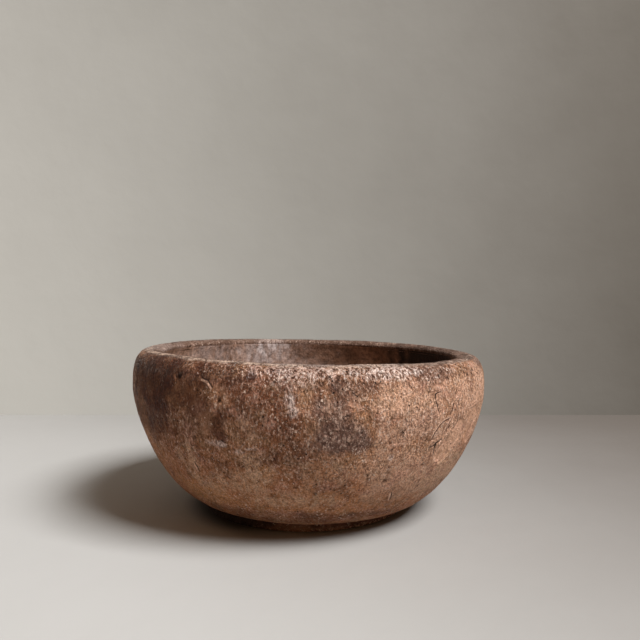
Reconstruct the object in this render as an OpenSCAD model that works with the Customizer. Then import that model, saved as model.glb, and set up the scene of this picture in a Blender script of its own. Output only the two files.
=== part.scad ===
// Thick-walled footed bowl, made of layered paper pulp.
// Millimetres. +Z is up, the foot stands on z = 0 and the front faces -Y.

/* [Bowl] */

// Greatest outside diameter of the wall.
bowl_d = 220; // [190:1:250]

// Height of the lip above the floor, along the axis of the wall.
bowl_h = 97; // [88:0.5:110]

// Lean of the wall over its foot, with the right side lower.
lean_a = 1.4; // [0:0.1:2.5]

// Thickness of the wall where the hollow is widest.
wall_t = 14; // [12:0.5:17]

// Thickness of the floor of the bowl, with its lining.
floor_t = 9; // [7:0.5:12]

/* [Lip] */

// Width of the lip from its crown out to the widest part of the wall.
lip_out = 12; // [10:0.5:14]

// Width of the lip from its crown in to its inner edge.
lip_in = 5.6; // [4.5:0.1:7]

// Height of the rounded edge on the inner side of the lip.
lip_drop = 3; // [2.5:0.1:4]

/* [Layers] */

// Thickness of the pasted layers on the outside.
skin_t = 1.5; // [1:0.1:2]

// Thickness of the lining of the hollow.
lining_t = 1.2; // [0.8:0.1:1.6]

/* [Foot] */

// Outside diameter of the foot ring.
foot_d = 128; // [116:1:136]

// Width of the foot ring.
foot_w = 15; // [11:0.5:19]

// Height of the foot ring at its middle.
foot_h = 5.4; // [5:0.1:7]

// Size of the worn edges of the foot ring.
foot_edge = 1; // [0.5:0.1:1.5]

/* [Hidden] */

$fn = 96;

bowl_r = bowl_d / 2;
foot_r = foot_d / 2;
foot_in_r = foot_r - foot_w;

// Height at which the outside is widest.
wide_h = foot_h + 0.77 * (bowl_h - foot_h);

// Crown and inner edge of the lip.
crown_r = bowl_r - lip_out;
edge_r = crown_r - lip_in;
edge_h = bowl_h - lip_drop;

// Widest part and floor of the hollow.
in_r = bowl_r - wall_t;
in_h = 0.76 * bowl_h;
floor_h = foot_h + floor_t;

// Steps along each stretch of the outlines.
wall_n = 20;
lip_n = 8;
roll_n = 5;
brim_n = 4;
hollow_n = 18;

// Lower wall, from the foot (t = 0) to the widest part (t = 1).
function wall_at(t) = [
    foot_r + (bowl_r - foot_r) * pow(sin(90 * t), 1.2),
    wide_h - (wide_h - foot_h) * pow(cos(90 * t), 1.3)
];

// Shoulder, from the widest part (t = 0) to the crown of the lip (t = 1).
function shoulder_at(t) = [
    crown_r + lip_out * pow(cos(90 * t), 0.64),
    wide_h + (bowl_h - wide_h) * pow(sin(90 * t), 0.64)
];

// Roll of the lip, from its crown (t = 0) to its inner edge (t = 1).
function roll_at(t) = [
    crown_r - lip_in * pow(sin(90 * t), 0.9),
    edge_h + lip_drop * pow(cos(90 * t), 0.9)
];

// Brim of the hollow, from the inner edge (t = 0) down to its widest part (t = 1).
function brim_at(t) = [
    in_r - (in_r - edge_r) * pow(1 - t, 2),
    edge_h - (edge_h - in_h) * t
];

// Hollow, from its widest part (t = 0) to the middle of its floor (t = 1).
function hollow_at(t) = [
    in_r * pow(cos(90 * t), 0.87),
    in_h - (in_h - floor_h) * pow(sin(90 * t), 0.87)
];

// Point i of a line, moved to its left by the distance d.
function moved(line, i, d) =
    let (ahead = line[i + 1] - line[i - 1])
    line[i] + d * [-ahead[1], ahead[0]] / norm(ahead);

function reversed(line) = [for (i = [len(line) - 1 : -1 : 0]) line[i]];

// Outside of the bowl, from the foot over the lip to the inner edge.
outer_line = [
    for (i = [0 : wall_n]) wall_at(i / wall_n),
    for (i = [1 : lip_n]) shoulder_at(i / lip_n),
    for (i = [1 : roll_n]) roll_at(i / roll_n)
];

// Inside of the bowl, from the inner edge to the middle of the floor.
inner_line = [
    for (i = [0 : brim_n]) brim_at(i / brim_n),
    for (i = [1 : hollow_n]) hollow_at(i / hollow_n)
];

// Back of the outer layers.
skin_line = [
    [foot_r, foot_h + skin_t],
    for (i = [1 : len(outer_line) - 2]) moved(outer_line, i, skin_t),
    [edge_r + skin_t, edge_h]
];

// Back of the lining.
lining_line = [
    [edge_r + lining_t, edge_h],
    for (i = [1 : len(inner_line) - 2]) moved(inner_line, i, lining_t),
    [0, floor_h - lining_t]
];

// Stands its children over the foot at the angle of the wall.
module lean() {
    rotate([0, lean_a, 0])
        children();
}

// Thick pressed pulp that gives the bowl its shape.
module pulp_wall() {
    color("SaddleBrown")
        lean()
            rotate_extrude()
                polygon(concat(
                    [[0, foot_h], [foot_r, foot_h]],
                    skin_line,
                    lining_line
                ));
}

// Layers pasted over the outside and round the lip.
module outer_skin() {
    color("Sienna")
        lean()
            rotate_extrude()
                polygon(concat(outer_line, reversed(skin_line)));
}

// Rubbed lining of the hollow.
module inner_lining() {
    color("Peru")
        lean()
            rotate_extrude()
                polygon(concat(inner_line, reversed(lining_line)));
}

// Underside of the wall, to cut the foot to its slope.
module underside() {
    lean()
        rotate_extrude()
            polygon(concat(
                [[0, foot_h]],
                [for (i = [0 : 7]) outer_line[i]],
                [[0, outer_line[7][1]]]
            ));
}

// Low ring of coarse pulp, level on the floor.
module foot_ring() {
    ring_top = foot_h + 4;
    color("Maroon")
        difference() {
            rotate_extrude()
                polygon([
                    [foot_in_r, foot_edge],
                    [foot_in_r + foot_edge, 0],
                    [foot_r - foot_edge, 0],
                    [foot_r, foot_edge],
                    [foot_r, ring_top],
                    [foot_in_r, ring_top]
                ]);
            underside();
        }
}

// Layer pasted under the floor of the bowl, inside the ring.
module foot_skin() {
    color("Tan")
        intersection() {
            cylinder(r = foot_in_r, h = 3 * foot_h);
            lean()
                translate([0, 0, foot_h - skin_t])
                    cylinder(r = foot_r, h = skin_t);
        }
}

pulp_wall();
outer_skin();
inner_lining();
foot_ring();
foot_skin();
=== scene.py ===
"""A thick footed bowl of layered paper pulp, brown and weathered, on a pale studio floor."""

import math

import bpy
import numpy as np
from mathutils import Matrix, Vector


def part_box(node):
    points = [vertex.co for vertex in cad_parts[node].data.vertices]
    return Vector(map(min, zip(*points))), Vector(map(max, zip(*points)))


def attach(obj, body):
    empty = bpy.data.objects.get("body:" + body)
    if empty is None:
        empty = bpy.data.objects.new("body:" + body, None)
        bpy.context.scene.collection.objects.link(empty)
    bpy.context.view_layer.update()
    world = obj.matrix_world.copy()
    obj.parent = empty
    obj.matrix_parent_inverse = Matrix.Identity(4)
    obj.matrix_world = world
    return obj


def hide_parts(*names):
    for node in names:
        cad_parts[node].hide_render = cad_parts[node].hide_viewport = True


MM = 0.001

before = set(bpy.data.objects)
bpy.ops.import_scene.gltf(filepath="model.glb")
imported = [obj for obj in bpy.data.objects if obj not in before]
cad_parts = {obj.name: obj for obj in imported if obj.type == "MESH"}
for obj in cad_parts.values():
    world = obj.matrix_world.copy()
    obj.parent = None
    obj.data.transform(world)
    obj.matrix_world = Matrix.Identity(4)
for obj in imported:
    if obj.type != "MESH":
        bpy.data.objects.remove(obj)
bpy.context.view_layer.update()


# ---------------------------------------------------------------- dimensions
# Millimetres, along the bowl's own axis, which leans over a level foot.

skin_lo, skin_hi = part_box("outer_skin")
foot_lo, foot_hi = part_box("foot_ring")

LEAN = math.radians(1.4)
BOWL_R = (skin_hi.y - skin_lo.y) / 2 / MM
BOWL_H = 97.0
WALL_T = 14.0
FLOOR_T = 9.0
SKIN_T = 1.5
LINING_T = 1.2

# Width of the lip outside and inside its crown, and the height of its inner roll.
LIP_OUT = 12.0
LIP_IN = 5.6
LIP_DROP = 3.0

FOOT_R = (foot_hi.x - foot_lo.x) / 2 / MM
FOOT_H = 5.4
FOOT_W = 15.0
FOOT_EDGE = 1.0

# The widest place outside, the lip's crown and inner edge, and the hollow.
WIDE_H = FOOT_H + 0.77 * (BOWL_H - FOOT_H)
CROWN_R = BOWL_R - LIP_OUT
EDGE_R = CROWN_R - LIP_IN
EDGE_H = BOWL_H - LIP_DROP
HOLLOW_R = BOWL_R - WALL_T
HOLLOW_H = 0.76 * BOWL_H
FLOOR_H = FOOT_H + FLOOR_T

# Points round each piece and along its seen line.
SKIN_AROUND = 760
SKIN_ROWS = 122
LINING_AROUND = 640
LINING_ROWS = 132
FOOT_AROUND = 560
FOOT_ROWS = 64
UNDER_AROUND = 260
UNDER_ROWS = 60


# ---------------------------------------------------------------- noise

def lattice(seed):
    """A table of unit vectors for the corners of the noise lattice."""
    rng = np.random.default_rng(seed)
    table = rng.normal(size=(256, 3))
    return table / np.linalg.norm(table, axis=1)[:, None]


GRADIENTS = lattice(7)


def hashed(cell, seed):
    """A number from 0 to 255 for each whole-numbered cell."""
    x, y, z = (cell[:, i].astype(np.int64) for i in range(3))
    h = (x * 73856093) ^ (y * 19349663) ^ (z * 83492791) ^ (seed * 2654435761)
    h = (h ^ (h >> 13)) * 1274126177
    return (h ^ (h >> 16)) & 255


def noise(points, size, seed):
    """Smooth noise from about -1 to 1, with bumps of this size in millimetres."""
    p = points / size
    low = np.floor(p)
    f = p - low
    fade = f * f * f * (f * (f * 6 - 15) + 10)
    total = np.zeros(len(p))
    for corner in np.ndindex(2, 2, 2):
        c = np.array(corner)
        slope = GRADIENTS[hashed(low + c, seed)]
        weight = np.prod(np.where(c, fade, 1 - fade), axis=1)
        total += weight * np.einsum("ij,ij->i", slope, f - c)
    return total * 1.6


def layered(points, size, seed, octaves=3, gain=0.5):
    """Noise with finer noise on top of it."""
    total = np.zeros(len(points))
    amount = 1.0
    for k in range(octaves):
        total += amount * noise(points, size / 2**k, seed + 31 * k)
        amount *= gain
    return total


def spots(points, size, seed, share, low, high):
    """Round spots in a share of the cells, of radius low to high: 1 in the middle, 0 at the rim."""
    rng = np.random.default_rng(seed)
    place = rng.uniform(0.2, 0.8, (256, 3))
    chance = rng.uniform(0, 1, 256)
    radius = rng.uniform(low, high, 256)
    p = points / size
    home = np.floor(p)
    depth = np.zeros(len(p))
    for shift in np.ndindex(3, 3, 3):
        cell = home + np.array(shift) - 1
        k = hashed(cell, seed)
        away = np.linalg.norm(p - cell - place[k], axis=1) * size
        depth = np.maximum(depth, np.where(chance[k] < share, 1 - away / radius[k], 0))
    return depth


def ramp(values, low, high):
    """0 at low, 1 at high, smooth between and level beyond; low may be the larger."""
    t = np.clip((values - low) / (high - low), 0, 1)
    return t * t * (3 - 2 * t)


# ---------------------------------------------------------------- outlines

def wall_at(t):
    a = math.pi / 2 * t
    r = FOOT_R + (BOWL_R - FOOT_R) * math.sin(a) ** 1.2
    return r, WIDE_H - (WIDE_H - FOOT_H) * max(math.cos(a), 0) ** 1.3


def shoulder_at(t):
    a = math.pi / 2 * t
    r = CROWN_R + (BOWL_R - CROWN_R) * max(math.cos(a), 0) ** 0.64
    return r, WIDE_H + (BOWL_H - WIDE_H) * math.sin(a) ** 0.64


def roll_at(t):
    a = math.pi / 2 * t
    r = CROWN_R - (CROWN_R - EDGE_R) * math.sin(a) ** 0.9
    return r, EDGE_H + (BOWL_H - EDGE_H) * max(math.cos(a), 0) ** 0.9


def brim_at(t):
    return HOLLOW_R - (HOLLOW_R - EDGE_R) * (1 - t) ** 2, EDGE_H - (EDGE_H - HOLLOW_H) * t


def hollow_at(t):
    a = math.pi / 2 * t
    r = HOLLOW_R * max(math.cos(a), 0) ** 0.87
    return r, HOLLOW_H - (HOLLOW_H - FLOOR_H) * math.sin(a) ** 0.87


def outline(*stretches):
    """Points along these stretches one after the other, close together."""
    steps = np.linspace(0, 1, 400)
    return np.array([at(t) for at in stretches for t in steps])


def evenly(line, count):
    """The same line with this many points, evenly spaced."""
    steps = np.hypot(*np.diff(line, axis=0).T)
    along = np.concatenate([[0], np.cumsum(steps)])
    keep = np.concatenate([[True], steps > 1e-9])
    wanted = np.linspace(0, along[-1], count)
    return np.stack([np.interp(wanted, along[keep], line[keep, i]) for i in (0, 1)], axis=1)


def outward(line):
    """Unit vectors to the right of the line, which is away from the wall."""
    ahead = np.gradient(line, axis=0)
    ahead /= np.linalg.norm(ahead, axis=1)[:, None]
    return np.stack([ahead[:, 1], -ahead[:, 0]], axis=1)


# ---------------------------------------------------------------- turned meshes

def turned(line, around):
    """The points of this line, row by row, turned round the axis from the front towards the right."""
    angle = np.arange(around) * 2 * math.pi / around
    out, up = line[:, 0, None], line[:, 1, None]
    rows = np.stack([out * np.sin(angle), -out * np.cos(angle), up + 0 * angle], axis=-1)
    return rows.reshape(-1, 3)


def band(first, second, around):
    """Quads between two rows of points, which start at these numbers."""
    here = np.arange(around)
    beside = (here + 1) % around
    quads = np.stack([first + here, first + beside, second + beside, second + here], axis=1)
    return quads.tolist()


def cap(row, tip, around):
    """Triangles from a row to one point on the axis."""
    here = np.arange(around)
    beside = (here + 1) % around
    return np.stack([row + here, row + beside, 0 * here + tip], axis=1).tolist()


def leaned(points):
    """Points of the bowl, leaned over its foot."""
    c, s = math.cos(LEAN), math.sin(LEAN)
    x, y, z = points.T
    return np.stack([x * c + z * s, y, z * c - x * s], axis=1)


def turned_piece(name, front, back, around, relief, lean=True):
    """A closed piece between its seen line and its hidden line, which runs back to the start.

    For the points of the seen line, relief gives how far each stands out and what its surface is.
    Where the seen line ends on the axis, both sides are closed there with one point."""
    pointed = front[-1, 0] < 0.001
    if pointed:
        front, back = front[:-1], back[1:]
    seen = turned(front, around)
    stand, surface = relief(seen)
    seen = seen + turned(outward(front), around) * stand[:, None]
    points = np.concatenate([seen, turned(back, around)])
    rows = len(front) + len(back)
    joins = [(i, (i + 1) % rows) for i in range(rows) if not (pointed and i == len(front) - 1)]
    faces = sum((band(a * around, b * around, around) for a, b in joins), [])
    if pointed:
        last, after, tip = (len(front) - 1) * around, len(front) * around, len(points)
        faces += cap(last, tip, around)
        faces += [face[::-1] for face in cap(after, tip + 1, around)]
        ends = [[0, 0, points[i : i + around, 2].mean()] for i in (last, after)]
        points = np.concatenate([points, ends])
    points = leaned(points) if lean else points
    mesh = bpy.data.meshes.new(name)
    mesh.from_pydata((points * MM).tolist(), [], faces)
    mesh.validate()
    for key, values in surface.items():
        whole = np.zeros(len(points), np.float32)
        whole[: len(values)] = values
        if pointed:
            whole[-2:] = values[-around:].mean()
        mesh.attributes.new(key, "FLOAT", "POINT").data.foreach_set("value", whole)
    mesh.polygons.foreach_set("use_smooth", [True] * len(mesh.polygons))
    face_outward(mesh)
    piece = bpy.data.objects.new(name, mesh)
    bpy.context.scene.collection.objects.link(piece)
    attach(piece, "root")
    return piece


def face_outward(mesh):
    """Turns a closed mesh the right way out."""
    mesh.calc_loop_triangles()
    places = np.zeros(len(mesh.vertices) * 3)
    mesh.vertices.foreach_get("co", places)
    corners = np.zeros(len(mesh.loop_triangles) * 3, np.int32)
    mesh.loop_triangles.foreach_get("vertices", corners)
    a, b, c = places.reshape(-1, 3)[corners.reshape(-1, 3)].transpose(1, 0, 2)
    if np.einsum("ij,ij->i", a, np.cross(b, c)).sum() < 0:
        mesh.flip_normals()


# ---------------------------------------------------------------- wear on the outside
# A place is the angle from the front towards the right, in degrees, and the height above
# the floor, in millimetres.

# Broad patches: angle, height, half width, half height, strength.
GREY_PATCHES = [
    (6, 76, 11, 8, 0.8), (8, 62, 15, 10, 1.0), (14, 61, 8, 7, 1.0), (33, 67, 15, 9, 0.25),
    (38, 93, 16, 5, 0.6), (74, 95, 18, 4, 0.7), (-30, 66, 12, 10, 0.4), (12, 86, 12, 5, 0.6),
    (170, 60, 22, 16, 0.8),
]
RED_PATCHES = [
    (-10, 86, 30, 12, 0.9), (0, 14, 60, 5, 0.8), (-12, 74, 20, 16, 0.7), (-3.5, 69, 8, 6, 0.8),
    (130, 76, 20, 15, 0.8), (-130, 60, 20, 18, 0.7),
]
PINK_PATCHES = [
    (46, 54, 20, 20, 1.0), (23, 80, 13, 10, 1.0), (36, 86, 30, 6, 0.6), (64, 70, 24, 24, 0.9),
    (28, 41, 24, 16, 0.9), (34, 72, 18, 16, 0.9), (50, 34, 30, 13, 1.0), (21, 60, 5, 16, 0.8),
    (27, 63, 9, 9, 0.9), (50, 80, 16, 12, 0.8), (150, 40, 25, 12, 0.7), (-150, 80, 22, 12, 0.7),
]
# Pale flakes and spots; the wide patch at 24 degrees and 94 mm is a painted sheen on the lip.
PALE_MARKS_AND_SHEEN = [
    (-4, 81, 2.6, 4, 1.0), (-3, 75.5, 2.4, 2.6, 0.9), (-25, 56, 6, 1.6, 1.0), (-18, 53, 3, 1, 1.0),
    (-14.5, 55, 3.5, 1, 1.0), (24.5, 51, 1.2, 1.6, 1.0), (-24, 80, 1, 1, 1.0), (24, 94, 16, 3.5, 0.7),
    (104, 72, 4, 5, 0.5), (-160, 95, 13, 5, 0.5), (-88, 96, 30, 4, 0.3), (0, 94, 30, 4, 0.4),
    (-2, 88, 16, 4, 0.25), (-112, 54, 8, 3, 0.6), (182, 74, 5, 7, 0.5),
]
# Pale patches low on the wall: partly dust, partly painted bounce light from the floor.
DUST_AND_BOUNCE_PATCHES = [
    (-37, 44, 9, 10, 0.9), (-14, 44, 10, 10, 1.0), (-20, 35, 14, 8, 0.8), (-32, 32, 12, 7, 0.7),
    (-6, 27, 28, 6, 0.8), (6, 46, 14, 9, 0.5), (52, 34, 24, 14, 0.8), (-16, 63, 9, 7, 0.5),
    (90, 40, 30, 14, 0.7), (-90, 36, 34, 12, 0.7), (-160, 34, 30, 10, 0.7),
]
# Dark patches: the broad ones on the left and left back, which the lamp leaves in shade, are painted
# shade; the small ones are dark marks.
DARK_PATCHES_AND_SHADE = [
    (-48, 86, 38, 21, 1.0), (-54, 62, 30, 12, 0.7), (-14.5, 91, 3.2, 2.8, 1.0), (-23.5, 64, 5, 9, 0.8),
    (-30, 76, 10, 8, 0.6), (-27, 90, 20, 8, 0.6), (-50, 94, 30, 6, 0.7), (-100, 78, 26, 22, 0.7),
    (160, 86, 20, 8, 0.6),
]
OCHRE_PATCHES = [
    (-36, 24, 24, 10, 1.0), (-2, 28, 24, 8, 0.4), (-17, 36, 12, 7, 0.7), (-11, 43, 5, 5, 0.9),
    (8, 22, 60, 12, 0.5), (-60, 40, 20, 12, 0.5), (110, 30, 30, 12, 0.6),
]
BARE_PATCHES = [
    (49, 58, 8, 9, 1.0), (45, 50, 8, 8, 1.0), (60, 60, 10, 12, 1.0), (-140, 66, 14, 12, 0.9),
]

# Pits: angle, height, radius, depth.
PITS = [
    (-37, 88.3, 1.9, 1.0), (-22.8, 78.6, 1.1, 1.0), (44.4, 63.5, 1.1, 0.8), (22.8, 71.4, 0.9, 0.6),
    (12, 84.5, 1.1, 0.6), (24.8, 37.3, 1.2, 0.7), (37, 43.7, 0.9, 0.6), (3.5, 31.3, 1.3, 0.7),
    (65.5, 57, 1.2, 0.8),
]

# Cracks: the places along each.
CRACKS = [
    [(38.8, 83.3), (37.2, 82), (37, 79.8), (37.8, 77), (38.8, 72.8)],
    [(45.2, 76), (44.8, 73), (44.2, 71)],
    [(48, 77.6), (47.5, 75)],
    [(42.2, 57), (40.5, 56), (40, 54.6), (38.2, 53.4)],
    [(40.5, 56), (40.2, 53), (40.8, 50)],
    [(104, 70), (108, 66), (107, 61)],
    [(150, 80), (154, 74), (153, 66)],
    [(-98, 84), (-101, 79), (-100, 74)],
    [(-144, 60), (-146, 52), (-149, 48)],
    [(-170, 40), (-166, 36), (-164, 34)],
]

# Edges where an outer layer has lifted, in the same way.
LIFTS = [
    [(44, 69), (41.5, 68), (39.5, 66), (38, 62), (37.5, 59)],
    [(44.5, 67.5), (43, 65), (42.5, 62)],
    [(-28.4, 88.2), (-26.5, 87.5), (-25.2, 84.6)],
    [(-35.2, 42), (-34.5, 38)],
    [(28.8, 29), (29.8, 24.5)],
    [(128, 66), (123, 63), (120, 57)],
    [(-122, 52), (-117, 57), (-113, 60)],
]


def round_from(points, angle):
    """Millimetres round the bowl from this angle."""
    angles = np.degrees(np.arctan2(points[:, 0], -points[:, 1]))
    turn = (angles - angle + 180) % 360 - 180
    return np.radians(turn) * np.hypot(points[:, 0], points[:, 1])


def patches(points, places, ragged):
    """How far inside one of these patches each point is, from 0 to 1, with ragged edges."""
    inside = np.zeros(len(points))
    for angle, height, half_width, half_height, strength in places:
        x = round_from(points, angle) / half_width
        y = (points[:, 2] - height) / half_height
        inside = np.maximum(inside, strength * ramp(1.25 - np.hypot(x, y) + ragged, 0.0, 0.7))
    return inside


def pits(points, places):
    """Depth of the pits, in millimetres."""
    depth = np.zeros(len(points))
    for angle, height, radius, deep in places:
        away = np.hypot(round_from(points, angle), points[:, 2] - height)
        depth = np.maximum(depth, deep * ramp(1.3 - away / radius, 0, 0.9))
    return depth


def lines(points, places, wander):
    """The distance across the nearest of these lines, and how near to it each point is, from 0 to 1."""
    across = np.full(len(points), 9.0)
    near = np.zeros(len(points))
    radius = np.hypot(points[:, 0], points[:, 1])
    stretches = [pair for line in places for pair in zip(line, line[1:])]
    for (angle_a, height_a), (angle_b, height_b) in stretches:
        x, y = round_from(points, angle_a), points[:, 2] - height_a
        dx, dy = np.radians(angle_b - angle_a) * radius, height_b - height_a
        length = np.hypot(dx, dy)
        side = (x * dy - y * dx) / length + wander
        beyond = np.maximum(np.abs((x * dx + y * dy) / length - length / 2) - length / 2, 0)
        closeness = ramp(3 - np.hypot(side, beyond), 0, 3) * ramp(1.4 - beyond, 0, 1.2)
        nearer = closeness > near
        across = np.where(nearer, side, across)
        near = np.where(nearer, closeness, near)
    return across, near


def skin_patches(points, ragged):
    """The colour patches of the outside, among them painted shade on the left, painted sheen on the lip
    and painted bounce light low down.
    """
    return {
        "grey": patches(points, GREY_PATCHES, ragged),
        "red": patches(points, RED_PATCHES, ragged),
        "pink": patches(points, PINK_PATCHES, ragged),
        "pale": patches(points, PALE_MARKS_AND_SHEEN, 1.2 * ragged),
        "dust_and_bounce": patches(points, DUST_AND_BOUNCE_PATCHES, 1.4 * ragged),
        "dark": patches(points, DARK_PATCHES_AND_SHADE, ragged),
        "ochre": patches(points, OCHRE_PATCHES, ragged),
    }


def lip_wear(points, ragged, radius, inward):
    """The rubbed outside of the lip, its crown, its inner roll, and a pale line along the front of the lip
    that is a painted highlight.
    """
    lip_highlight_line = ramp(np.abs(radius - CROWN_R - 3.2 + 3 * ragged), 3, 1.2) * (points[:, 2] > WIDE_H)
    in_front = ramp(-points[:, 1], -40, 20)
    outer_side = ramp(radius, CROWN_R - 2, CROWN_R + 3)
    return {
        "rubbed": ramp(points[:, 2], BOWL_H - 13, BOWL_H - 5) * outer_side,
        "crown": ramp(points[:, 2], BOWL_H - 0.9, BOWL_H - 0.3),
        "inner": inward * ramp(radius, CROWN_R - 0.5, CROWN_R - 2.5),
        "stain_and_shade": inward * patches(points, STAINS_AND_SHADE, ragged),
        # Painted highlight: a pale line along the lip, only at the front and stronger to the left.
        "edge": lip_highlight_line * in_front * (0.4 + 0.6 * ramp(points[:, 0], 62, 30)),
    }


def skin_relief(points):
    """The weathered outside: hand-pressed shape, layer edges, grain, pits and cracks."""
    ragged = 0.35 * layered(points, 8, 11, 3)
    bare = ramp(patches(points, BARE_PATCHES, ragged), 0.3, 0.85)
    bare = np.maximum(bare, ramp(noise(points, 34, 21) + ragged, 0.62, 0.78))
    sheets = ramp(noise(points, 21, 23) + 0.5 * ragged, 0.28, 0.36) * (1 - bare)
    small_pits = ramp(spots(points, 8.5, 31, 0.3, 0.9, 1.7), 0, 0.8)
    own_pits = pits(points, PITS)
    crack, crack_near = lines(points, CRACKS, 0.4 * noise(points, 2.6, 41))
    lift, lift_near = lines(points, LIFTS, 0.4 * noise(points, 3, 43))
    lip = ramp(points[:, 2], BOWL_H - 5, BOWL_H - 1)
    chips = ramp(spots(points, 11, 37, 0.35, 1.6, 3.2), 0, 0.7) * lip

    stand = 0.5 * noise(points, 62, 1) + 0.28 * noise(points, 27, 2) + 0.16 * layered(points, 9, 3, 2)
    stand += layered(points * [1, 1, 0.5], 2.3, 5, 2) * (0.13 - 0.08 * bare)
    stand += 0.12 * sheets - 0.3 * bare
    stand += 0.5 * np.exp(-(((lift - 1) / 1.1) ** 2)) * lift_near
    stand -= 0.5 * small_pits + own_pits + 0.45 * chips
    stand -= 0.5 * np.exp(-((crack / 0.8) ** 2)) * crack_near
    near_foot = ramp(points[:, 2], FOOT_H, FOOT_H + 8)
    stand *= 0.3 + 0.7 * near_foot

    radius = np.hypot(points[:, 0], points[:, 1])
    inward = (points[:, 2] > HOLLOW_H) * (radius < CROWN_R)
    down = np.where(inward * (radius < EDGE_R + 0.6), EDGE_H - points[:, 2], -9.0)
    torn = ramp(down + 0.8 * ragged, 0.4, 2.0)
    stand *= 1 - 0.8 * inward * ramp(radius, CROWN_R, EDGE_R + 1)
    stand = stand * (1 - torn) - 0.35 * torn
    surface = {
        **skin_patches(points, ragged),
        **lip_wear(points, ragged, radius, inward),
        "bare": bare,
        # Low on the wall: the colour is lighter there, partly painted bounce light, and the grain is
        # quieter.
        "low": ramp(points[:, 2], 66, 20),
        "pit": np.clip(np.maximum(0.8 * small_pits, own_pits), 0, 1),
        "crack": crack,
        "crack_near": crack_near,
        "lift": lift,
        "lift_near": lift_near,
    }
    return np.clip(stand, -1.05, 1.1), surface


def skin():
    """The outer layers, from under the wall over the lip and just down into the hollow."""
    tuck = 4.0
    share_of_brim = 0.12

    def under_at(t):
        return FOOT_R - tuck * (1 - t), FOOT_H

    def torn_edge_at(t):
        return brim_at(share_of_brim * t)

    front = evenly(outline(under_at, wall_at, shoulder_at, roll_at, torn_edge_at), SKIN_ROWS)
    back = evenly((front - outward(front) * (SKIN_T - 0.2))[::-1], 7)
    piece = turned_piece("outer_layers", front, back, SKIN_AROUND, skin_relief)
    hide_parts("outer_skin")
    return piece


# ---------------------------------------------------------------- lining, foot and underside

# Patches of the lining that are rubbed pale, and at the back left a painted sheen, on the same plan as
# those outside.
WEAR_AND_SHEEN_PATCHES = [
    (-160, 91, 15, 7, 1.0), (-155, 87, 30, 10, 0.45), (-128, 86, 24, 12, 0.25), (20, 60, 24, 14, 0.3),
]
# Dark patches of the lining and the lip's inner roll: the first, at the back right, is painted shade where
# the rim keeps the lamp off the hollow; the others are stains.
STAINS_AND_SHADE = [
    (114, 82, 44, 26, 1.0), (60, 30, 40, 14, 0.6), (-60, 24, 30, 10, 0.5),
]


def lining_relief(points):
    """The hollow: hand-pressed and rubbed smooth, with a few scars."""
    ragged = 0.35 * layered(points, 7, 61, 3)
    stain_and_shade = patches(points, STAINS_AND_SHADE, ragged)
    worn = 0.2 * ramp(noise(points, 30, 63) + ragged, -0.1, 0.8) * (1 - stain_and_shade)
    # The patches add rubbed wear, and at the back left a painted sheen.
    worn = np.maximum(worn, patches(points, WEAR_AND_SHEEN_PATCHES, ragged))
    scars = ramp(spots(points, 13, 67, 0.3, 1.2, 2.6) + 0.3 * ragged, 0, 0.8) * ramp(points[:, 2], 80, 66)
    stand = 0.4 * noise(points, 58, 64) + 0.22 * noise(points, 24, 65)
    stand += 0.1 * layered(points, 8, 66, 2) + (0.09 - 0.05 * worn) * layered(points, 2.4, 68, 2)
    stand -= 0.35 * scars + 0.1 * worn
    stand *= 0.15 + 0.85 * ramp(EDGE_H - points[:, 2], 2, 14)
    stand -= 0.2 * ramp(points[:, 2], EDGE_H - 1.4, EDGE_H)
    return np.clip(stand, -0.7, 0.9), {"worn": worn, "pit": scars, "stain_and_shade": stain_and_shade}


def lining():
    """The lining, from the lip's inner edge to the middle of the floor of the hollow."""
    front = evenly(outline(brim_at, hollow_at), LINING_ROWS)
    back = evenly((front - outward(front) * (LINING_T - 0.1))[::-1], 9)
    back[0, 0] = 0
    piece = turned_piece("rubbed_hollow", front, back, LINING_AROUND, lining_relief)
    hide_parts("inner_lining")
    return piece


def foot_relief(points):
    """Coarse pulp: lumps and broken edges round a flat base."""
    angle = np.arctan2(points[:, 0], -points[:, 1])
    off_floor = ramp(points[:, 2], 0.05, 1.6)
    stand = 0.55 * noise(points, 19, 71) + 0.3 * layered(points, 5, 72, 2) + 0.15 * noise(points, 1.8, 73)
    stand += 0.9 * np.cos(angle + 0.3)
    worn_edge = ramp(points[:, 2], 3.2, 1.2)
    surface = {
        "grit": np.maximum(ramp(noise(points, 1.6, 74), 0.2, 0.5), 0.9 * worn_edge),
        # Painted shadow on the left of the foot, where the bowl shades it.
        "painted_foot_shadow": ramp(np.cos(angle + 1.1), 0.45, 0.9),
    }
    return np.clip(stand, -1.2, 1.2) * off_floor, surface


def foot():
    """The level ring under the wall, a little way into it at the top."""
    top, low = FOOT_H + 1.2, FOOT_EDGE
    inner, outer = FOOT_R - FOOT_W, FOOT_R - 0.4
    inside = [(inner, top), (inner, low), (inner + low, 0)]
    outside = [(outer - low, 0), (outer, low), (outer, top)]
    corners = np.array(inside + outside)
    front = evenly(corners, FOOT_ROWS)
    back = evenly(corners[[-1, 0]], 8)
    piece = turned_piece("coarse_foot", front, back, FOOT_AROUND, foot_relief, lean=False)
    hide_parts("foot_ring")
    return piece


def under_relief(points):
    """The layer under the floor, which faces down, so what stands out of it goes down."""
    ragged = 0.35 * layered(points, 8, 81, 3)
    torn = ramp(noise(points, 20, 82) + ragged, 0.2, 0.35)
    stand = 0.3 * noise(points, 34, 83) + 0.2 * layered(points, 6, 84, 3) - 0.35 * torn
    return -np.clip(stand, -1.0, 0.6), {}


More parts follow.
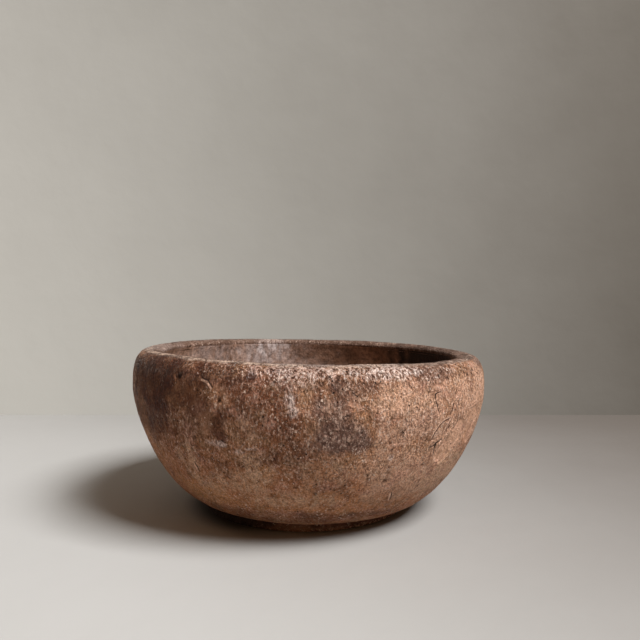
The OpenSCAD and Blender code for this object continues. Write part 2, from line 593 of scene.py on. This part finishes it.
def under_layer():
    """The layer under the floor of the bowl, inside the ring."""
    rim, low = FOOT_R - FOOT_W + 0.8, FOOT_H - SKIN_T
    front = evenly(np.array([(rim, low), (0, low)]), UNDER_ROWS)
    back = evenly(np.array([(0, low + 1.3), (rim, low + 1.3)]), 6)
    piece = turned_piece("under_layer", front, back, UNDER_AROUND, under_relief)
    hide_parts("foot_skin")
    return piece


# ---------------------------------------------------------------- materials

def rgb(red, green, blue):
    """A colour as a screen shows it, from 0 to 255, as the shaders want it."""
    return tuple(((v / 255 + 0.055) / 1.055) ** 2.4 for v in (red, green, blue)) + (1.0,)


class Finish:
    """A procedural material, built node by node around one shader."""

    def __init__(self, name):
        self.material = bpy.data.materials.new(name)
        self.material.use_nodes = True
        self.tree = self.material.node_tree
        self.shader = self.tree.nodes["Principled BSDF"]
        self.place = self.tree.nodes.new("ShaderNodeTexCoord").outputs["Object"]

    def node(self, kind, *values, **settings):
        made = self.tree.nodes.new(kind)
        for key, value in settings.items():
            setattr(made, key, value)
        open_sockets = [socket for socket in made.inputs if socket.enabled]
        for socket, value in zip(open_sockets, values):
            self.put(socket, value)
        return made

    def put(self, socket, value):
        if isinstance(value, bpy.types.NodeSocket):
            self.tree.links.new(value, socket)
        else:
            socket.default_value = value

    def math(self, operation, a, b=0.0):
        return self.node("ShaderNodeMath", a, b, operation=operation).outputs[0]

    def spot_at(self, size, stretch, seed):
        """The place on the piece, counted in spots of this size in millimetres."""
        scale = [1 / (size * MM * longer) for longer in stretch]
        shift = [seed * 3.7, seed * 5.3, seed * 7.1]
        made = self.node("ShaderNodeVectorMath", self.place, scale, shift, operation="MULTIPLY_ADD")
        return made.outputs[0]

    def noise(self, size, seed, stretch=(1, 1, 1), detail=2.0, rough=0.5):
        made = self.node("ShaderNodeTexNoise")
        self.put(made.inputs["Vector"], self.spot_at(size, stretch, seed))
        self.put(made.inputs["Scale"], 1.0)
        self.put(made.inputs["Detail"], detail)
        self.put(made.inputs["Roughness"], rough)
        return made.outputs[0]

    def dots(self, size, seed, stretch=(1, 1, 1)):
        """Distance from the nearest of some scattered points, in dot spacings."""
        made = self.node("ShaderNodeTexVoronoi")
        self.put(made.inputs["Vector"], self.spot_at(size, stretch, seed))
        self.put(made.inputs["Scale"], 1.0)
        return made.outputs["Distance"]

    def ramp(self, value, low, high, to_low=0.0, to_high=1.0):
        values = (value, low, high, to_low, to_high)
        return self.node("ShaderNodeMapRange", *values, interpolation_type="SMOOTHSTEP").outputs[0]

    def mix(self, share, a, b, blend="MIX"):
        made = self.node("ShaderNodeMix", data_type="RGBA", blend_type=blend)
        for socket, value in zip([s for s in made.inputs if s.enabled], (share, a, b)):
            self.put(socket, value)
        return [s for s in made.outputs if s.enabled][0]

    def attribute(self, name):
        return self.node("ShaderNodeAttribute", attribute_name=name).outputs["Fac"]

    def bump(self, height, millimetres, under=None):
        made = self.node("ShaderNodeBump")
        self.put(made.inputs["Height"], height)
        self.put(made.inputs["Distance"], millimetres * MM)
        if under:
            self.put(made.inputs["Normal"], under)
        return made.outputs[0]

    def done(self, colour, roughness, normal, specular=0.5):
        self.put(self.shader.inputs["Base Color"], colour)
        self.put(self.shader.inputs["Roughness"], roughness)
        self.put(self.shader.inputs["Normal"], normal)
        self.shader.inputs["Specular IOR Level"].default_value = specular
        return self.material


UPRIGHT = (1, 1, 1.9)


def layer_colours(f, mottle, pink, low):
    """The broad colours of the outer layers, lighter low down: partly the pulp's own tone, partly painted
    bounce light from the floor.
    """
    cloud = f.noise(34, 1, detail=2)
    tint = f.noise(9, 10, detail=3, rough=0.6)
    colour = f.mix(f.ramp(cloud, 0.36, 0.62), rgb(130, 85, 57), rgb(160, 114, 82))
    # Lighter and more ochre low down, partly painted bounce light from the floor.
    colour = f.mix(f.math("MULTIPLY", low, 0.7), colour, rgb(198, 132, 92))
    colour = f.mix(f.attribute("ochre"), colour, rgb(190, 134, 90))
    colour = f.mix(f.math("MULTIPLY", pink, f.ramp(mottle, 0.3, 0.5, 0.7, 1)), colour, rgb(202, 157, 130))
    colour = f.mix(f.attribute("red"), colour, rgb(120, 73, 49))
    colour = f.mix(f.ramp(mottle, 0.52, 0.66, 0, 0.45), colour, rgb(194, 146, 114))
    shade = f.math("MULTIPLY", f.ramp(mottle, 0.48, 0.36, 0, 0.55), f.ramp(pink, 0, 1, 1, 0.1))
    colour = f.mix(shade, colour, rgb(88, 54, 38))
    colour = f.mix(f.ramp(tint, 0.53, 0.66, 0, 0.4), colour, rgb(192, 142, 122))
    return f.mix(f.ramp(tint, 0.47, 0.34, 0, 0.45), colour, rgb(140, 108, 80))


def worn_colours(f, colour, mottle, blotch, fibre, dusty, dark, pale_share):
    """Grey places, dark places with painted shade on the left, blotches, the rubbed lip, dust with painted
    bounce light, pale wear, and painted highlight and sheen on the lip.
    """
    colour = f.mix(f.math("MULTIPLY", f.attribute("grey"), 0.9), colour, rgb(108, 81, 72))
    # Darker where the dark patches lie, which on the left side is painted shade.
    darkened = f.math("MULTIPLY", dark, f.ramp(mottle, 0.4, 0.62, 0.97, 0.75))
    colour = f.mix(darkened, colour, rgb(66, 27, 9))
    pale_blotches = f.math("MULTIPLY", f.ramp(blotch, 0.54, 0.68, 0, 0.4), pale_share)
    colour = f.mix(pale_blotches, colour, rgb(206, 168, 144))
    colour = f.mix(f.ramp(blotch, 0.46, 0.32, 0, 0.35), colour, rgb(78, 46, 33))
    crown = f.mix(dusty, rgb(66, 46, 37), rgb(112, 86, 72))
    colour = f.mix(f.attribute("crown"), colour, crown)
    inner_roll = f.mix(dusty, rgb(94, 69, 56), rgb(126, 99, 85))
    colour = f.mix(f.attribute("inner"), colour, inner_roll)
    # Stains on the inner roll, and painted shade at its back right.
    colour = f.mix(f.math("MULTIPLY", f.attribute("stain_and_shade"), 0.7), colour, rgb(62, 41, 31))
    # Pale dust, partly painted bounce light.
    dust_and_bounce = f.math("MULTIPLY", f.attribute("dust_and_bounce"), f.ramp(blotch, 0.37, 0.57))
    colour = f.mix(dust_and_bounce, colour, rgb(196, 156, 126))
    # Painted highlight along the front of the lip.
    colour = f.mix(f.math("MULTIPLY", f.attribute("edge"), dusty), colour, rgb(202, 172, 152))
    # Pale marks, and on the lip a painted sheen, speckled along the fibres.
    speckled_pale_and_sheen = f.math("MULTIPLY", f.attribute("pale"), f.ramp(fibre, 0.4, 0.6, 0.15, 1))
    return f.mix(speckled_pale_and_sheen, colour, rgb(220, 200, 192))


def fibre_colours(f, colour, fibre, grain, dusty, dark, pale_share, quiet):
    """Light and dark fibres and pale flecks, quieter on the smooth places."""
    shown = f.math("MULTIPLY", quiet, pale_share)
    light_grains = f.math("MULTIPLY", f.ramp(fibre, 0.5, 0.7, 0, 0.6), shown)
    colour = f.mix(light_grains, colour, f.mix(dark, rgb(230, 200, 182), rgb(180, 108, 64)))
    dark_grains = f.math("MULTIPLY", f.ramp(fibre, 0.5, 0.3, 0, 0.75), quiet)
    colour = f.mix(dark_grains, colour, rgb(66, 38, 27))
    gaps = f.math("MULTIPLY", f.ramp(fibre, 0.52, 0.38, 0, 0.85), f.attribute("rubbed"))
    colour = f.mix(gaps, colour, rgb(70, 44, 34))
    speckle = f.mix(1.0, colour, f.ramp(grain, 0.3, 0.7, 0.55, 1.45), "MULTIPLY")
    colour = f.mix(quiet, colour, speckle)
    flecks = f.ramp(f.noise(1.1, 8, (1, 1, 1.5), detail=2, rough=0.6), 0.6, 0.7)
    flecks = f.math("MULTIPLY", flecks, f.math("MULTIPLY", dusty, pale_share))
    return f.mix(flecks, colour, rgb(232, 206, 188))


def mark_colours(f, colour, fibre, crumbs):
    """Dark crumbs, pits, cracks, and the lifted edges, pale and partly a painted highlight, with a painted
    shadow beside them.
    """
    colour = f.mix(crumbs, colour, rgb(48, 28, 20))
    colour = f.mix(f.attribute("pit"), colour, rgb(40, 22, 16))
    crack = f.ramp(f.math("ABSOLUTE", f.attribute("crack")), 0.5, 0.15)
    crack = f.math("MULTIPLY", crack, f.attribute("crack_near"))
    colour = f.mix(crack, colour, rgb(34, 20, 15))
    lift = f.attribute("lift")
    near = f.attribute("lift_near")
    # The lifted edge's pale line: partly the paper's own edge, partly a painted highlight.
    edge = f.ramp(f.math("ABSOLUTE", f.math("SUBTRACT", lift, 0.4)), 0.8, 0.2)
    edge = f.math("MULTIPLY", edge, near)
    edge = f.math("MULTIPLY", edge, f.ramp(fibre, 0.36, 0.5, 0.3, 1))
    # Painted shadow beside the lifted edge.
    lift_shadow = f.ramp(f.math("ABSOLUTE", f.math("ADD", lift, 0.6)), 0.5, 0.15)
    lift_shadow = f.math("MULTIPLY", lift_shadow, near)
    colour = f.mix(edge, colour, rgb(226, 184, 160))
    return f.mix(lift_shadow, colour, rgb(46, 27, 20))


def weathered_finish():
    """Brown layers: patches of colour, upright fibres, pale flecks, dark pits and cracks, with painted
    shade, highlights, sheen and bounce light among them.
    """
    f = Finish("weathered_layers")
    mottle = f.noise(15, 2, detail=5, rough=0.62)
    blotch = f.noise(4.5, 17, (1, 1, 1.6), detail=4, rough=0.7)
    fibre = f.noise(1.5, 4, UPRIGHT, detail=4, rough=0.75)
    grain = f.noise(0.9, 5, (1, 1, 1.4), detail=2, rough=0.7)
    dusty = f.ramp(f.noise(7, 9, detail=3, rough=0.6), 0.42, 0.62, 0.2, 1)
    low = f.attribute("low")
    dark = f.attribute("dark")
    bare = f.attribute("bare")
    pale_share = f.ramp(dark, 0, 1, 1, 0.25)
    smooth = f.math("MAXIMUM", f.math("MAXIMUM", bare, f.attribute("inner")), f.math("MULTIPLY", low, 0.6))
    quiet = f.ramp(smooth, 0, 1, 1, 0.45)
    crumbs = f.ramp(f.dots(3.1, 6, (1, 1, 1.3)), 0.17, 0.08)
    crumbs = f.math("MULTIPLY", crumbs, f.ramp(mottle, 0.52, 0.44))

    colour = layer_colours(f, mottle, f.attribute("pink"), low)
    colour = worn_colours(f, colour, mottle, blotch, fibre, dusty, dark, pale_share)
    colour = fibre_colours(f, colour, fibre, grain, dusty, dark, pale_share, quiet)
    colour = mark_colours(f, colour, fibre, crumbs)

    relief = f.math("ADD", fibre, f.math("MULTIPLY", grain, 0.6))
    relief = f.math("MULTIPLY", relief, f.ramp(bare, 0, 1, 1.0, 0.5))
    normal = f.bump(relief, 1.9)
    normal = f.bump(f.math("SUBTRACT", blotch, f.math("MULTIPLY", crumbs, 0.4)), 1.6, normal)
    polish = f.math("MULTIPLY", f.attribute("rubbed"), f.ramp(fibre, 0.5, 0.64))
    f.put(f.shader.inputs["Coat Weight"], polish)
    f.put(f.shader.inputs["Coat Normal"], f.bump(relief, 0.8))
    f.shader.inputs["Coat Roughness"].default_value = 0.24
    f.shader.inputs["Coat IOR"].default_value = 1.9
    roughness = f.ramp(mottle, 0.35, 0.65, 0.56, 0.76)
    return f.done(colour, roughness, normal, specular=0.14)


def lining_finish():
    """Brown and rubbed, with worn pale clouds, a painted sheen at the back left, darker stains and painted
    shade at the back right.
    """
    f = Finish("rubbed_lining")
    cloud = f.noise(22, 11, detail=3)
    fine = f.noise(3, 12, detail=4, rough=0.7)
    grain = f.noise(1.2, 13, detail=2)
    streaks = f.noise(4, 14, (1, 1, 3), detail=3)
    worn = f.attribute("worn")
    colour = f.mix(f.ramp(cloud, 0.38, 0.62), rgb(108, 80, 63), rgb(138, 109, 92))
    # Stains, and nearly black painted shade at the back right of the hollow.
    colour = f.mix(f.math("MULTIPLY", f.attribute("stain_and_shade"), 0.97), colour, rgb(20, 7, 3))
    # Pale where worn, and at the back left a painted sheen.
    streaked = f.math("MULTIPLY", worn, f.ramp(streaks, 0.36, 0.56, 0.35, 1))
    colour = f.mix(streaked, colour, rgb(200, 188, 186))
    colour = f.mix(f.attribute("pit"), colour, rgb(58, 38, 30))
    colour = f.mix(1.0, colour, f.ramp(fine, 0.3, 0.7, 0.55, 1.4), "MULTIPLY")
    relief = f.math("ADD", fine, f.math("MULTIPLY", grain, 0.4))
    f.put(f.shader.inputs["Coat Weight"], f.math("MULTIPLY", worn, 0.7))
    f.shader.inputs["Coat Roughness"].default_value = 0.4
    roughness = f.ramp(cloud, 0.35, 0.65, 0.42, 0.58)
    return f.done(colour, roughness, f.bump(relief, 0.6), specular=0.2)


def foot_finish():
    """Dark, gritty pulp with pale grits, and painted shadow over the left of the foot."""
    f = Finish("coarse_pulp")
    cloud = f.noise(8, 21, detail=3)
    grain = f.noise(1.4, 22, detail=3, rough=0.65)
    grits = f.ramp(f.noise(1.6, 23, detail=3, rough=0.8), 0.5, 0.59)
    colour = f.mix(f.ramp(cloud, 0.4, 0.6), rgb(96, 58, 40), rgb(146, 100, 72))
    colour = f.mix(f.ramp(grain, 0.42, 0.3, 0, 0.8), colour, rgb(34, 22, 17))
    colour = f.mix(f.math("MULTIPLY", grits, f.attribute("grit")), colour, rgb(228, 190, 160))
    # Painted shadow: the left of the foot is darkened nearly to black.
    colour = f.mix(f.math("MULTIPLY", f.attribute("painted_foot_shadow"), 0.9), colour, rgb(18, 11, 8))
    relief = f.math("ADD", grain, f.math("MULTIPLY", grits, 0.4))
    return f.done(colour, f.ramp(grain, 0.3, 0.7, 0.75, 0.92), f.bump(relief, 1.6), specular=0.3)


def pulp_finish(name):
    """Pressed pulp: fibres lying every way, in dull browns."""
    f = Finish(name)
    cloud = f.noise(12, 31, detail=3)
    fibre = f.noise(1.8, 32, (2.4, 1, 1), detail=3, rough=0.6)
    across = f.noise(1.8, 33, (1, 2.4, 1), detail=3, rough=0.6)
    tangle = f.math("MAXIMUM", fibre, across)
    colour = f.mix(f.ramp(cloud, 0.38, 0.62), rgb(92, 66, 50), rgb(126, 94, 72))
    colour = f.mix(f.ramp(tangle, 0.56, 0.7, 0, 0.6), colour, rgb(164, 132, 106))
    colour = f.mix(f.ramp(tangle, 0.5, 0.4, 0, 0.6), colour, rgb(58, 38, 29))
    return f.done(colour, f.ramp(cloud, 0.3, 0.7, 0.78, 0.92), f.bump(tangle, 0.9), specular=0.3)


# ---------------------------------------------------------------- studio

# Metres.
FLOOR_BACK = 0.296
FLOOR_FRONT = -2.2
HALF_WIDTH = 2.2
WALL_TOP = 2.0


def plane(name, corners):
    mesh = bpy.data.meshes.new(name)
    mesh.from_pydata(corners, [], [(0, 1, 2, 3)])
    piece = bpy.data.objects.new(name, mesh)
    bpy.context.scene.collection.objects.link(piece)
    return piece


def plaster(name, pale, dim, shift):
    """Painted plaster, seen only from its front, with painted shade that dims it to the right and a
    painted contact shadow at the left of the foot.
    """
    f = Finish(name)
    split = f.node("ShaderNodeSeparateXYZ", f.place).outputs
    cloud = f.noise(180, 41, detail=4, rough=0.6)
    # Painted shade: from the pale colour to the dim one towards the right, more steeply nearer the front
    # and lower down; lighter towards the front and dimmer higher up, with a little random cloud.
    nearer = f.math("SUBTRACT", FLOOR_BACK, split["Y"])
    stretch = f.math("ADD", f.math("MULTIPLY", nearer, 2.0), f.math("MULTIPLY", split["Z"], -0.8))
    across = f.math("MULTIPLY", split["X"], f.math("ADD", stretch, 1.1))
    across = f.math("SUBTRACT", across, f.math("MULTIPLY", nearer, 0.9))
    across = f.math("ADD", across, f.math("MULTIPLY", split["Z"], 0.35))
    across = f.math("ADD", across, f.math("MULTIPLY", f.math("SUBTRACT", cloud, 0.5), 0.12))
    across = f.math("ADD", across, shift)
    colour = f.mix(f.ramp(across, -0.6, 0.6), pale, dim)
    # Painted contact shadow: the floor is darkened round the left of the foot.
    out = f.node("ShaderNodeVectorMath", f.place, operation="LENGTH").outputs["Value"]
    painted_contact_shadow = f.ramp(out, (FOOT_R + 16) * MM, FOOT_R * MM)
    painted_contact_shadow = f.math("MULTIPLY", painted_contact_shadow, f.ramp(split["X"], -0.005, -0.045, 0, 0.85))
    colour = f.mix(painted_contact_shadow, colour, rgb(40, 30, 24))
    material = f.done(colour, 0.85, f.bump(f.noise(30, 42, detail=4), 0.4), specular=0.2)
    seen = f.node("ShaderNodeNewGeometry").outputs["Backfacing"]
    clear = f.node("ShaderNodeBsdfTransparent").outputs[0]
    both = f.node("ShaderNodeMixShader", seen, f.shader.outputs[0], clear).outputs[0]
    f.tree.links.new(both, f.tree.nodes["Material Output"].inputs["Surface"])
    return material


def studio():
    """A pale floor with a pale wall behind it."""
    w, back, front, top = HALF_WIDTH, FLOOR_BACK, FLOOR_FRONT, WALL_TOP
    floor = plane("floor", [(-w, front, 0), (w, front, 0), (w, back, 0), (-w, back, 0)])
    wall = plane("wall", [(-w, back, 0), (w, back, 0), (w, back, top), (-w, back, top)])
    # The pale colour of each plaster, and the dim colour of its painted shade.
    floor.data.materials.append(plaster("pale_floor", rgb(174, 173, 171), rgb(92, 85, 79), shift=0.1))
    wall.data.materials.append(plaster("pale_wall", rgb(200, 200, 195), rgb(79, 72, 63), shift=-0.08))


def area_light(name, azimuth, elevation, distance, width, height, watts, colour):
    """A soft light that faces the bowl, placed by its angle from the right towards the camera."""
    a, e = math.radians(azimuth), math.radians(elevation)
    away = Vector((math.cos(e) * math.cos(a), -math.cos(e) * math.sin(a), math.sin(e)))
    light = bpy.data.lights.new(name, "AREA")
    light.shape = "RECTANGLE"
    light.size, light.size_y = width, height
    light.energy = watts
    light.color = colour
    lamp = bpy.data.objects.new(name, light)
    lamp.location = away * distance + Vector((0, 0, BOWL_H * MM / 2))
    lamp.rotation_euler = away.to_track_quat("Z", "Y").to_euler()
    bpy.context.scene.collection.objects.link(lamp)


def world_light(warm, strength, backdrop):
    """Dim warm light from all round, with a pale backdrop where nothing else is seen."""
    world = bpy.data.worlds.new("studio")
    world.use_nodes = True
    tree = world.node_tree
    dim = tree.nodes["Background"]
    plain = tree.nodes.new("ShaderNodeBackground")
    dim.inputs["Color"].default_value = warm
    dim.inputs["Strength"].default_value = strength
    plain.inputs["Color"].default_value = backdrop
    choice = tree.nodes.new("ShaderNodeMixShader")
    seen = tree.nodes.new("ShaderNodeLightPath")
    tree.links.new(seen.outputs["Is Camera Ray"], choice.inputs[0])
    tree.links.new(dim.outputs[0], choice.inputs[1])
    tree.links.new(plain.outputs[0], choice.inputs[2])
    tree.links.new(choice.outputs[0], tree.nodes["World Output"].inputs["Surface"])
    bpy.context.scene.world = world


# Where the camera stands, in millimetres, and how far it looks down, in degrees.
EYE_AT = (8.84, -414, 129.4)
EYE_DIP = 1.89

# Focal length and film width, in millimetres.
LENS = 36.0
FILM = 36.0


def camera():
    """The camera at the photograph's distance, height and angle."""
    eye = bpy.data.cameras.new("camera")
    eye.lens = LENS
    eye.sensor_width = FILM
    eye.clip_start = 0.01
    seen_from = bpy.data.objects.new("camera", eye)
    seen_from.location = [v * MM for v in EYE_AT]
    seen_from.rotation_euler = (math.radians(90 - EYE_DIP), 0, 0)
    bpy.context.scene.collection.objects.link(seen_from)
    bpy.context.scene.camera = seen_from


# ---------------------------------------------------------------- the scene

for piece, finish in (
    (skin(), weathered_finish()),
    (lining(), lining_finish()),
    (foot(), foot_finish()),
    (under_layer(), pulp_finish("pressed_layer")),
):
    piece.data.materials.append(finish)

wall_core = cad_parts["pulp_wall"]
wall_core.data.materials.clear()
wall_core.data.materials.append(pulp_finish("pressed_pulp"))

studio()
area_light(
    "window",
    azimuth=33,
    elevation=52,
    distance=3.0,
    width=1.25,
    height=1.2,
    watts=168,
    colour=(0.99, 1.0, 1.0),
)
world_light(warm=(1.0, 0.57, 0.29, 1.0), strength=0.2, backdrop=rgb(176, 171, 165))
camera()
bpy.context.scene.view_settings.view_transform = "Standard"
